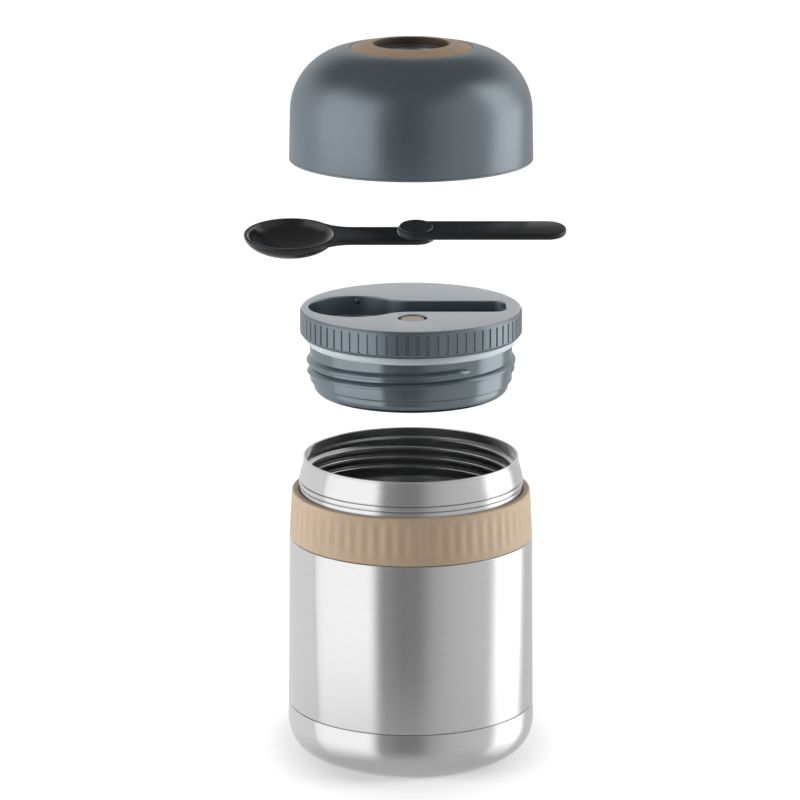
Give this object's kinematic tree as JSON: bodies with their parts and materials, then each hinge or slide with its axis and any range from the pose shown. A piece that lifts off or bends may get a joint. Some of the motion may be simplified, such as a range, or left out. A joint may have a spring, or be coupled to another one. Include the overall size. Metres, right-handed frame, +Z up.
{
  "type": "insulated food jar",
  "caption": "Vacuum-walled steel food jar with silicone grip band, insulated screw stopper with vent valve and spoon recess, folding spoon and cap that serves as a bowl, drawn apart.",
  "frame": {"origin": "centre of the base's underside, where the jar stands", "axes": "+Z up along the jar's axis, -Y towards the viewer and the hung spoon, +X to the viewer's right along the spoon's handle"},
  "size_m": [0.1172, 0.1266, 0.2749],
  "materials": {
    "brushed_steel": "vertical brushed sheen",
    "liner_steel": "satin",
    "spring_steel": "bright",
    "slate_plastic": "matte",
    "slate_gloss": "satin gloss",
    "cap_plastic": "matte soft-touch",
    "cap_inner": "satin",
    "tan_silicone": "matte",
    "clear_silicone": "translucent",
    "black_plastic": "satin gloss",
    "foam": "cellular",
    "getter_metal": "matte",
    "solder_glass": "glassy"
  },
  "bodies": {
    "jar": {"outer_shell": "brushed_steel", "base_cup": "brushed_steel", "base_disc": "brushed_steel", "vacuum_plug": "solder_glass", "getter": "getter_metal", "inner_liner": "liner_steel", "grip_band": "tan_silicone"},
    "gasket": {"stopper_gasket": "clear_silicone"},
    "stopper": {"stopper_top": "slate_plastic", "stopper_cup": "slate_gloss", "stopper_foam": "foam", "valve_spring": "spring_steel"},
    "vent_valve": {"valve_button": "tan_silicone", "valve_stem": "spring_steel", "valve_seal": "clear_silicone", "valve_clip": "spring_steel"},
    "cap": {"cap_shell": "cap_plastic", "cap_liner": "cap_inner", "cap_ring": "tan_silicone"},
    "spoon": {"spoon_bowl": "black_plastic", "spoon_rivet": "black_plastic"},
    "handle": {"spoon_handle": "black_plastic"}
  },
  "joints": [
    {"name": "stopper_lift", "type": "slide", "parent": "jar", "child": "gasket", "axis": [0, 0, 1], "range_m": [-0.0474, 0]},
    {"name": "stopper_turn", "type": "hinge", "parent": "gasket", "child": "stopper", "pos_m": [0, 0, 0.16], "axis": [0, 0, 1], "range_deg": [-2245, 0]},
    {"name": "vent_press", "type": "slide", "parent": "stopper", "child": "vent_valve", "axis": [0, 0, 1], "range_m": [-0.0015, 0], "stiffness_N_per_m": 600, "springref_m": 0.0015, "deforming": ["valve_spring"]},
    {"name": "cap_lift", "type": "slide", "parent": "gasket", "child": "cap", "axis": [0, 0, 1], "range_m": [-0.0809, 0]},
    {"name": "spoon_lift", "type": "slide", "parent": "jar", "child": "spoon", "axis": [0, 0, 1], "range_m": [-0.2075, 0]},
    {"name": "spoon_fold", "type": "hinge", "parent": "spoon", "child": "handle", "pos_m": [0.0016, -0.064, 0.21575], "axis": [0, -0.1771, 0.9842], "range_deg": [-180, 0]}
  ],
  "couplings": [
    {"joint": "stopper_lift", "follows": "stopper_turn", "m_per_rad": 0.0012096}
  ]
}
